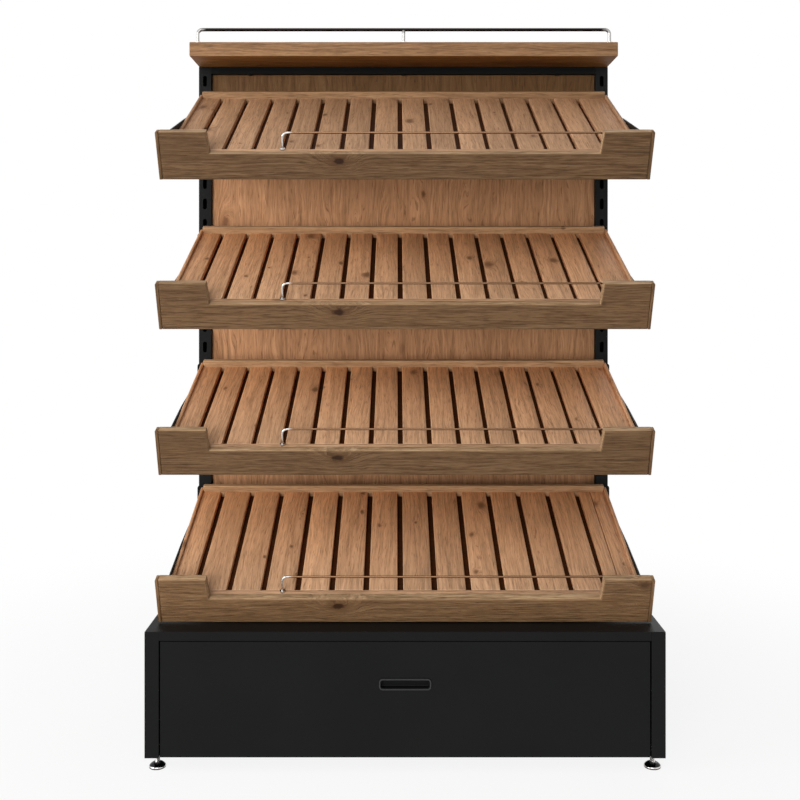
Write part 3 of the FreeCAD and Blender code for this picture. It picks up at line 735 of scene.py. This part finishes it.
class RACK_OT_stage(bpy.types.Operator):
    """Lays the floor, hangs the lamps and sets the camera"""
    bl_idname = "rack.stage"
    bl_label = "Stage"

    def execute(self, context):
        scene = context.scene
        look = scene.rack_stage
        scene.view_settings.view_transform = "Standard"
        eye = bpy.data.cameras.new("eye")
        eye.lens = look.lens
        eye.sensor_width = look.sensor
        eye.shift_x = 0.5 - look.principal_u / look.image_side
        eye.shift_y = look.principal_v / look.image_side - 0.5
        eye.clip_end = 100
        camera = bpy.data.objects.new("eye", eye)
        camera.location = (look.eye_side, -look.eye_back, look.eye_height)
        camera.rotation_euler = (math.pi / 2, 0, 0)
        scene.collection.objects.link(camera)
        scene.camera = camera
        self.floor(scene, look)
        self.lamps(scene)
        self.sky(scene, look)
        return {"FINISHED"}

    def floor(self, scene, look):
        """Level floor that fades to the backdrop's white for the camera, and keeps the rack's shadow."""
        paint = Paint("paper_floor")
        place = paint.place()
        cloud = paint.noise(place, scale=0.8, detail=2.0).over(0.3, 0.7)
        tone = paint.blend(cloud, look.paper, shade_of(look.paper, 1.02))
        paint.finish(Base_Color=tone, Roughness=0.9, Specular_IOR_Level=0.1)
        side, depth = paint.parts(place)[:2]
        away = (side * side + depth * depth) ** 0.5
        shadow_share = 0.14
        white_share = away.over(0.55, 1.9) * shadow_share + (1.0 - shadow_share)
        paint.show_white(paint.seen() * white_share, "ShaderNodeEmission")
        count = 9
        steps = np.linspace(-look.floor_half, look.floor_half, count)
        x, y = np.meshgrid(steps, steps, indexing="ij")
        points = np.stack([x, y, np.zeros_like(x)], axis=-1).reshape(-1, 3)
        row, column = np.meshgrid(np.arange(count - 1), np.arange(count - 1), indexing="ij")
        corner = row * count + column
        faces = np.stack([corner, corner + count, corner + count + 1, corner + 1], axis=-1)
        mesh = bpy.data.meshes.new("floor")
        mesh.from_pydata(points.tolist(), [], faces.reshape(-1, 4).tolist())
        mesh.materials.append(paint.owner)
        floor = bpy.data.objects.new("floor", mesh)
        scene.collection.objects.link(floor)

    def lamps(self, scene):
        """Large soft boxes, each with its name, place, target, side and power: two in front, one to each
        side and one behind. The one at eye level isn't mirrored in the metal."""
        boxes = (
            ("front_box", (-0.6, -4.2, 2.9), (0.0, 0.0, 0.8), 2.2, 42),
            ("eye_box", (-1.5, -4.5, 1.05), (0.0, 0.0, 0.7), 2.0, 182),
            ("left_box", (-3.4, -1.6, 2.0), (0.0, 0.0, 0.8), 2.2, 66),
            ("right_box", (3.2, -1.8, 1.9), (0.0, 0.0, 0.8), 2.2, 4),
            ("back_box", (1.2, 3.4, 2.4), (0.0, 0.0, 0.9), 2.2, 24),
        )
        for name, place, target, size, power in boxes:
            lamp = bpy.data.lights.new(name, "AREA")
            lamp.shape = "SQUARE"
            lamp.size = size
            lamp.energy = power
            box = bpy.data.objects.new(name, lamp)
            x, y, z = np.array(target) - np.array(place)
            box.location = place
            box.rotation_euler = (math.atan2(math.hypot(x, y), -z), 0, math.atan2(-x, y))
            box.visible_glossy = name != "eye_box"
            scene.collection.objects.link(box)

    def sky(self, scene, look):
        """Even grey fill for the rack, and white where the camera or a bright metal looks past it."""
        paint = Paint("studio", world=True)
        scene.world = paint.finish(Color=(0.95, 0.95, 0.95), Strength=look.fill)
        paint.show_white(paint.seen(), "ShaderNodeBackground")


class RACK_OT_trays(bpy.types.Operator):
    """Makes the oak boards of the four trays"""
    bl_idname = "rack.trays"
    bl_label = "Tray boards"

    def execute(self, context):
        look = context.scene.rack_wood
        slat_oak = oak("slat_oak", look, brightness=1.38, hue=(1.03, 1.14, 1.28), knots=0.36,
                       contrast=0.72, sweep=2.6, line=1.2, ring_share=0.6)
        # Painted shade: near-black oak that stands in for the shade seen through the slats' gaps
        gap_shade = oak("gap_shade_oak", look, brightness=0.13, hue=(1.2, 0.80, 0.55), knots=0.0,
                    contrast=0.5, sheen=0.05)
        rail_oak = oak("rail_oak", look, brightness=0.72, hue=(1.03, 1.35, 1.62), knots=0.04,
                       contrast=0.85, sweep=1.6, line=0.8)
        # Painted shade: dark wood for the front boards' faces, whose other faces their tone lifts back
        front_oak = oak("front_oak", look, brightness=0.325, hue=(0.985, 1.02, 0.94), knots=0.08,
                        contrast=1.35, sweep=1.5, line=2.3, arris=0.45)
        rail_edge = look.softening * 1.6
        bearer_edge = look.softening * 0.5
        for tray, angle in enumerate(look.tray_tilts, start=1):
            front_board(tray, angle, look, front_oak)
            name = f"tray{tray}_"
            seed = {part: first + tray for part, first in SEEDS.items()}
            centres, halves = solid_boxes(name + "slats", angle)
            front, rear = centres[0, 1] - halves[0, 1], centres[0, 1] + halves[0, 1]
            # Painted light on this tray's slats and rails, from front to rear
            tones = (front, rear, look.front_painted_light[tray - 1], look.rear_painted_light[tray - 1])
            slope = (*tones, look.rear_painted_bounce[tray - 1])
            rail_slope = (*tones, 1.0)
            # Painted light on the slats' lower halves lightens the gaps' shaded walls
            dress_boards(name + "slats", 1, angle, slat_oak, look.softening, seed["slats"], slope,
                         painted_wall_light=4.5)
            dress_boards(name + "side_rails", 1, angle, slat_oak, rail_edge, seed["side_rails"], slope)
            dress_boards(name + "rear_rail", 0, angle, rail_oak, rail_edge, seed["rear_rail"], rail_slope)
            # Painted shade: battens and sheet behind the front strip take the near-black material
            dress_boards(name + "bearers", 0, angle, slat_oak, bearer_edge, seed["bearers"],
                         gap_shade_from=front, gap_shade=gap_shade)
        return {"FINISHED"}


class RACK_OT_back_and_top(bpy.types.Operator):
    """Makes the back panel and the top board"""
    bl_idname = "rack.back_and_top"
    bl_label = "Back panel and top board"

    def execute(self, context):
        look = context.scene.rack_wood
        low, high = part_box("back_panel")
        front_depth = low.y + 2 * MM
        # Painted shade cast by the top board on the panel's upper front
        panel_oak = oak("panel_oak", look, brightness=1.22, hue=(1.04, 0.99, 0.95), knots=0.06,
                        contrast=0.80, sweep=5.0, line=0.9, heart_depth=0.5, ring_share=0.65,
                        shade=(look.painted_shade_start, look.painted_shade_end, front_depth, look.panel_painted_shade))
        knot = [[look.panel_knot_side, 0.0, look.panel_knot_height - (low.z + high.z) / 2]]
        dress_boards("back_panel", 2, 0.0, panel_oak, look.softening, SEEDS["back_panel"], knots=knot)
        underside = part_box("top_board")[0].z
        all_depth = CAD_BOX[1][1]
        # Painted shade on the top board's underside
        top_oak = oak("top_oak", look, brightness=0.72, hue=(1.0, 1.03, 1.0), knots=0.05,
                      contrast=1.0, sweep=2.4, line=0.9, arris=0.6,
                      shade=(underside + 1.0 * MM, underside + 0.2 * MM, all_depth, look.top_painted_shade))
        dress_boards("top_board", 0, 0.0, top_oak, look.softening * 1.6, SEEDS["top_board"])
        return {"FINISHED"}


class RACK_OT_chrome(bpy.types.Operator):
    """Bends the fence wires and the gallery rail"""
    bl_idname = "rack.chrome"
    bl_label = "Fences and gallery rail"

    def execute(self, context):
        steel = context.scene.rack_steel
        polish, even = 0.2, (40.0, 40.0, 40.0)
        wire_bend, rail_bend, socket_fold = 12 * MM, 10 * MM, 0.4 * MM
        # Painted reflection: level wires take brown where they mirror the trays, and darker below
        chrome = plated("chrome_plate", steel.chrome, polish, even, (steel.wire_upper_reflection, steel.wire_under_reflection))
        wire_cover = (0.5, 0.3, -0.4, 1.0)
        for tray, angle in enumerate(context.scene.rack_wood.tray_tilts, start=1):
            self.rod(f"tray{tray}_fence", angle, wire_bend, chrome, (), wire_cover)
        # Painted reflection: the rail and its posts are darker plating, as they mirror darker surroundings
        rail = plated("rail_plate", shade_of(steel.chrome, 0.6), polish, even,
                      (shade_of(steel.chrome, 0.3), steel.rail_under_reflection))
        rail_cover = (0.0, 1.3, 0.3, 0.0)
        self.rod("top_rail", 0.0, rail_bend, rail, (0.0,), rail_cover)
        for node in ("rail_sockets", "fence_ferrules"):
            softened(node, chrome, socket_fold)
        return {"FINISHED"}

    def rod(self, node, angle, bend, material, posts, cover):
        """Replaces a bent rod by a smooth one in the same place, with further posts at the given X. Cover
        holds the painted reflection of the level stretch: its run attribute at the top, the heights in
        radii between which it rises to one at the underside, and how many bends further it goes on at the
        right."""
        centre, half = (array[0] for array in solid_boxes(node, angle))
        radius = half[1]
        low, high = centre - half, centre + half
        path = arch_path(low[0] + radius, high[0] - radius, low[2], high[2] - radius, bend)
        path[:, 1] = centre[1]
        meshes = [swept_rod(path, radius)]
        for x in posts:
            post = np.linspace([x, centre[1], low[2]], [x, centre[1], high[2] - radius], 4)
            meshes.append(swept_rod(post, radius))
        points, faces = join_meshes(meshes)
        # Painted reflection: run picks the mirrored colours along the level stretch
        least, upper, under, further = cover
        inward = np.minimum(points[:, 0] - low[0], high[0] - points[:, 0] + further * bend)
        rise = (points[:, 2] - high[2] + radius) / radius
        underside = -1.1
        level = np.clip(inward / bend - 1, 0.0, 1.0) * (rise > underside)
        share = np.clip((upper - rise) / (upper - under), 0.0, 1.0)
        run = level * (least + (1 - least) * share)
        piece = mesh_object(node + "_rod", node, turned(points, angle), faces, material,
                            {"run": ("FLOAT", run)})
        merge_corners(piece)
        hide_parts(node)


class RACK_OT_feet(bpy.types.Operator):
    """Turns the levelling feet with their threads"""
    bl_idname = "rack.feet"
    bl_label = "Levelling feet"

    def execute(self, context):
        steel = context.scene.rack_steel
        chrome = plated("foot_chrome", steel.chrome, 0.2, (60.0, 60.0, 400.0),
                        (steel.foot_dome_reflection, steel.foot_dome_reflection))
        tread_top, dome_foot, stem = 1.3 * MM, 5.0 * MM, 5.5 * MM
        for node in [name for name in NODES if name.startswith("foot_") and name != "foot_nuts"]:
            low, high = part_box(node)
            centre = ((low.x + high.x) / 2, (low.y + high.y) / 2, 0.0)
            points, faces = join_meshes([self.pad(centre), self.thread(centre, high.z)])
            away = np.hypot(points[:, 0] - centre[0], points[:, 1] - centre[1])
            # Painted reflection on the dome and a painted contact shadow along the bottom edge
            dome = (points[:, 2] > dome_foot) & (away > stem)
            tread = points[:, 2] < tread_top
            dark = (dome | tread).astype(float)
            piece = mesh_object(node + "_turned", node, points, faces, chrome, {"run": ("FLOAT", dark)})
            merge_corners(piece)
            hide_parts(node)
        return {"FINISHED"}

    def pad(self, centre):
        """Round pad in millimetres: a short rim, a dome from the rim's radius to the neck's, whose height
        goes as sin(t pi/2)^0.8 while its radius falls evenly with t, and a flat top."""
        rim, neck, rim_top, top = 17.0, 7.0, 3.0, 10.0
        t = np.linspace(0, 1, 12)
        swell = np.sin(t * math.pi / 2) ** 0.8
        dome = np.stack([rim + (neck - rim) * t, rim_top + (top - rim_top) * swell], axis=1)
        base = np.array([[0.0, 0.0], [rim - 1.4, 0.0], [rim - 0.4, 0.35], [rim, 1.2]])
        flat = np.array([[neck, top], [0.0, top]])
        return lathe(np.concatenate([base, dome, flat]) * MM, centre)

    def thread(self, centre, top):
        """Screw stem in millimetres: radius middle + relief tri(z / pitch - turn), where tri is a wave of
        straight flanks, on a grid of angle and height."""
        sides, pitch, per_turn = 24, 1.5, 6
        foot, middle, relief, tip = 9.5, 4.6, 0.4, 3.8
        height = np.arange(foot, top / MM + 0.01, pitch / per_turn)
        height[-1] = top / MM
        turn = np.linspace(0, 2 * math.pi, sides, endpoint=False)
        phase = height[:, None] / pitch - turn[None, :] / (2 * math.pi)
        radius = middle + relief * (2 * np.abs(2 * (phase - np.floor(phase + 0.5))) - 1)
        radius[-1] = tip
        points = np.stack([radius * np.cos(turn), radius * np.sin(turn),
                           np.broadcast_to(height[:, None], radius.shape)], axis=-1) * MM
        faces = grid_faces(len(height), sides)
        faces.append(list(range(sides - 1, -1, -1)))
        faces.append([(len(height) - 1) * sides + i for i in range(sides)])
        return (points + np.array(centre)).reshape(-1, 3), faces


class RACK_OT_pull(bpy.types.Operator):
    """Shapes the drawer's flush pull with its rounded rim"""
    bl_idname = "rack.pull"
    bl_label = "Flush pull"

    def execute(self, context):
        steel = context.scene.rack_steel
        node = "flush_pull"
        low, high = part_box(node)
        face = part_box("drawer_front")[0].y
        points, faces = self.cup(low, high, face, steel)
        piece = mesh_object("flush_pull_cup", node, points, faces, self.rim_coat(steel, low.y, face))
        merge_corners(piece)
        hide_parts(node)
        return {"FINISHED"}

    def rim_coat(self, steel, crest, face):
        """Black paint with a painted highlight, a little brighter along the crest of the rim."""
        paint = Paint("pull_coat")
        place = paint.place()
        depth = paint.parts(place)[1]
        rise = face - crest
        # Painted highlight along the rim's crest, broken up by noise
        painted_highlight = 1.0 - depth.over(crest + rise * 0.06, crest + rise * 0.16)
        patch = paint.noise(place, scale=160.0, detail=3.0, roughness=0.6)
        tone = paint.blend(painted_highlight * (patch * 0.5 + 0.6), steel.coat, shade_of(steel.coat, 10.0))
        peel = paint.noise(place, scale=1400.0, detail=2.0, roughness=0.6)
        paint.bump(peel, 0.0001, 0.3)
        return paint.finish(Base_Color=tone, Roughness=0.5 - painted_highlight * 0.1, Specular_IOR_Level=0.12)

    def cup(self, low, high, face, steel):
        """Rounded-rectangle rings, each drawn in by an inset at a depth: half - r + (r - inset) d, where d
        goes round the circle. The rings run from the recess floor, up its wall, over the half-round rim and
        down the cup's outside."""
        rim, wall = steel.pull_rim, steel.pull_wall
        arc = np.linspace(0, math.pi, 9)
        lip_half = (rim + wall) / 2
        lip = np.stack([lip_half + lip_half * np.cos(arc), face - (face - low.y) * np.sin(arc)], axis=1)
        floor_y = high.y - wall
        fillet, chamfer = 2 * MM, 1 * MM
        inside = np.array([[rim + wall + fillet, floor_y], [rim + wall + fillet / 4, floor_y - fillet / 4],
                           [rim + wall, floor_y - fillet]])
        outside = np.array([[rim, face], [rim, high.y - chamfer], [rim + chamfer, high.y]])
        profile = np.concatenate([inside, lip, outside])
        steps = 6
        quarter = np.linspace(0, math.pi / 2, steps)
        turn = np.concatenate([quarter + math.pi / 2 * corner for corner in range(4)])
        side = np.repeat(np.arange(4), steps)
        sign_x = np.where((side == 0) | (side == 3), 1.0, -1.0)
        sign_z = np.where(side < 2, 1.0, -1.0)
        half_x, half_z = (high.x - low.x) / 2, (high.z - low.z) / 2
        centre_x, centre_z = (high.x + low.x) / 2, (high.z + low.z) / 2
        corner = steel.pull_corner
        tightest = 0.6 * MM
        reach = np.maximum(corner - profile[:, :1], tightest)
        pull_in = profile[:, :1] - (corner - reach)
        x = centre_x + sign_x * (half_x - corner - pull_in) + reach * np.cos(turn)
        z = centre_z + sign_z * (half_z - corner - pull_in) + reach * np.sin(turn)
        y = np.broadcast_to(profile[:, 1:], x.shape)
        points = np.stack([x, y, z], axis=-1).reshape(-1, 3)
        rows, columns = x.shape
        faces = grid_faces(rows, columns)
        faces.append(list(range(columns)))
        faces.append([(rows - 1) * columns + i for i in range(columns - 1, -1, -1)])
        return points, faces


class RACK_OT_steelwork(bpy.types.Operator):
    """Paints the cabinet, uprights, brackets and drawer, and plates the runners"""
    bl_idname = "rack.steelwork"
    bl_label = "Steelwork"

    def execute(self, context):
        steel = context.scene.rack_steel
        coat = powder_coat("black_coat", steel.coat)
        # Painted light: the uprights take a lighter copy of the black coat
        painted_light_post_coat = powder_coat("painted_light_post_coat", shade_of(steel.coat, 1.7))
        zinc = plated("zinc_plate", steel.zinc, 0.3, (30.0, 8.0, 30.0))
        for node in NODES:
            if node == "flush_pull":
                continue
            if SLOT_OF[node] == "black_steel" or node == "board_screws":
                softened(node, painted_light_post_coat if node.startswith("upright") else coat, steel.fold)
            elif SLOT_OF[node] == "zinc_steel":
                repaint(node, zinc)
        return {"FINISHED"}


class RACK_PT_panel(bpy.types.Panel):
    """Lists the rack's operators"""
    bl_idname = "RACK_PT_panel"
    bl_label = "Display rack"
    bl_space_type = "VIEW_3D"
    bl_region_type = "UI"
    bl_category = "Rack"

    def draw(self, context):
        for operator in OPERATORS:
            self.layout.operator(operator.bl_idname)


GROUPS = {"rack_wood": RackWood, "rack_steel": RackSteel, "rack_stage": RackStage}
OPERATORS = (RACK_OT_stage, RACK_OT_trays, RACK_OT_back_and_top, RACK_OT_chrome, RACK_OT_feet,
             RACK_OT_pull, RACK_OT_steelwork)


def register():
    for name, group in GROUPS.items():
        bpy.utils.register_class(group)
        setattr(bpy.types.Scene, name, bpy.props.PointerProperty(type=group))
    for operator in OPERATORS + (RACK_PT_panel,):
        bpy.utils.register_class(operator)


def unregister():
    for operator in reversed(OPERATORS + (RACK_PT_panel,)):
        bpy.utils.unregister_class(operator)
    for name, group in GROUPS.items():
        delattr(bpy.types.Scene, name)
        bpy.utils.unregister_class(group)


def main():
    register()
    bpy.ops.rack.stage()
    bpy.ops.rack.trays()
    bpy.ops.rack.back_and_top()
    bpy.ops.rack.chrome()
    bpy.ops.rack.feet()
    bpy.ops.rack.pull()
    bpy.ops.rack.steelwork()


if __name__ == "__main__":
    main()
